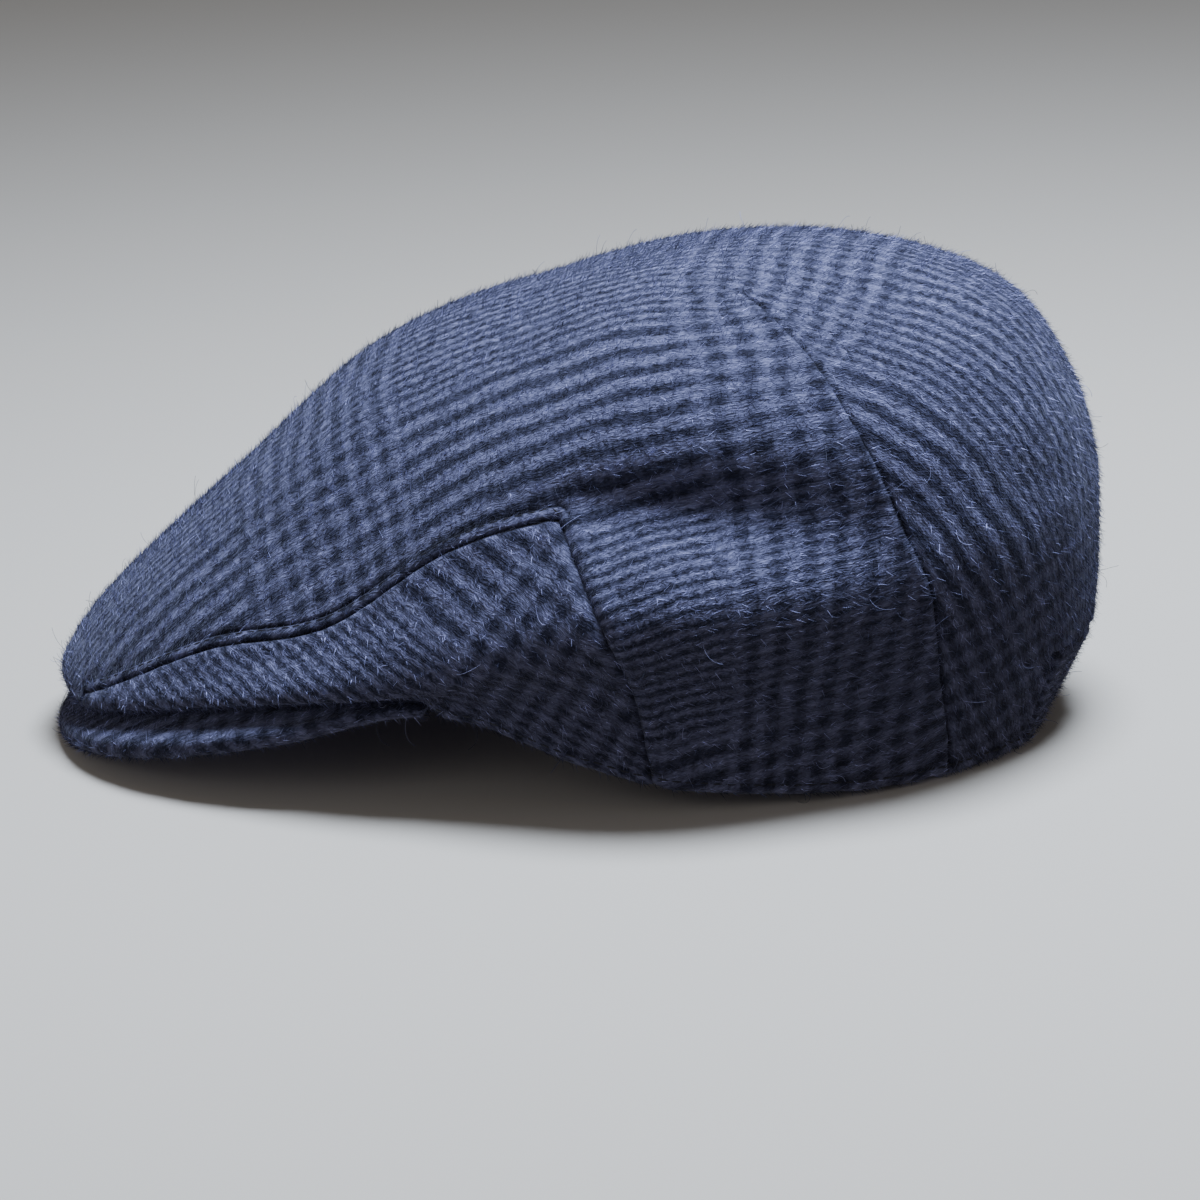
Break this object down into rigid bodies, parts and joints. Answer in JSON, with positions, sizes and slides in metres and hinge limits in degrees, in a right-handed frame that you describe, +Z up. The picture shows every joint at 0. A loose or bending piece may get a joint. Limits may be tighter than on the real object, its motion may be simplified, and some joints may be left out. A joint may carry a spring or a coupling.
{
  "type": "flat cap",
  "caption": "Flat cap in brushed check wool: low crown drawn forward over a short stiff peak, side panels, back band, open hollow for the head.",
  "frame": {"origin": "middle of the cap's length and width, on the table that it rests on", "axes": "+Z up, -Y the way the peak points, +X the wearer's left"},
  "size_m": [0.1914, 0.2757, 0.1259],
  "materials": {
    "check_wool": "brushed"
  },
  "bodies": {
    "root": {"crown": "check_wool", "left_side_panel": "check_wool", "right_side_panel": "check_wool", "back_band": "check_wool", "peak": "check_wool"}
  },
  "joints": []
}
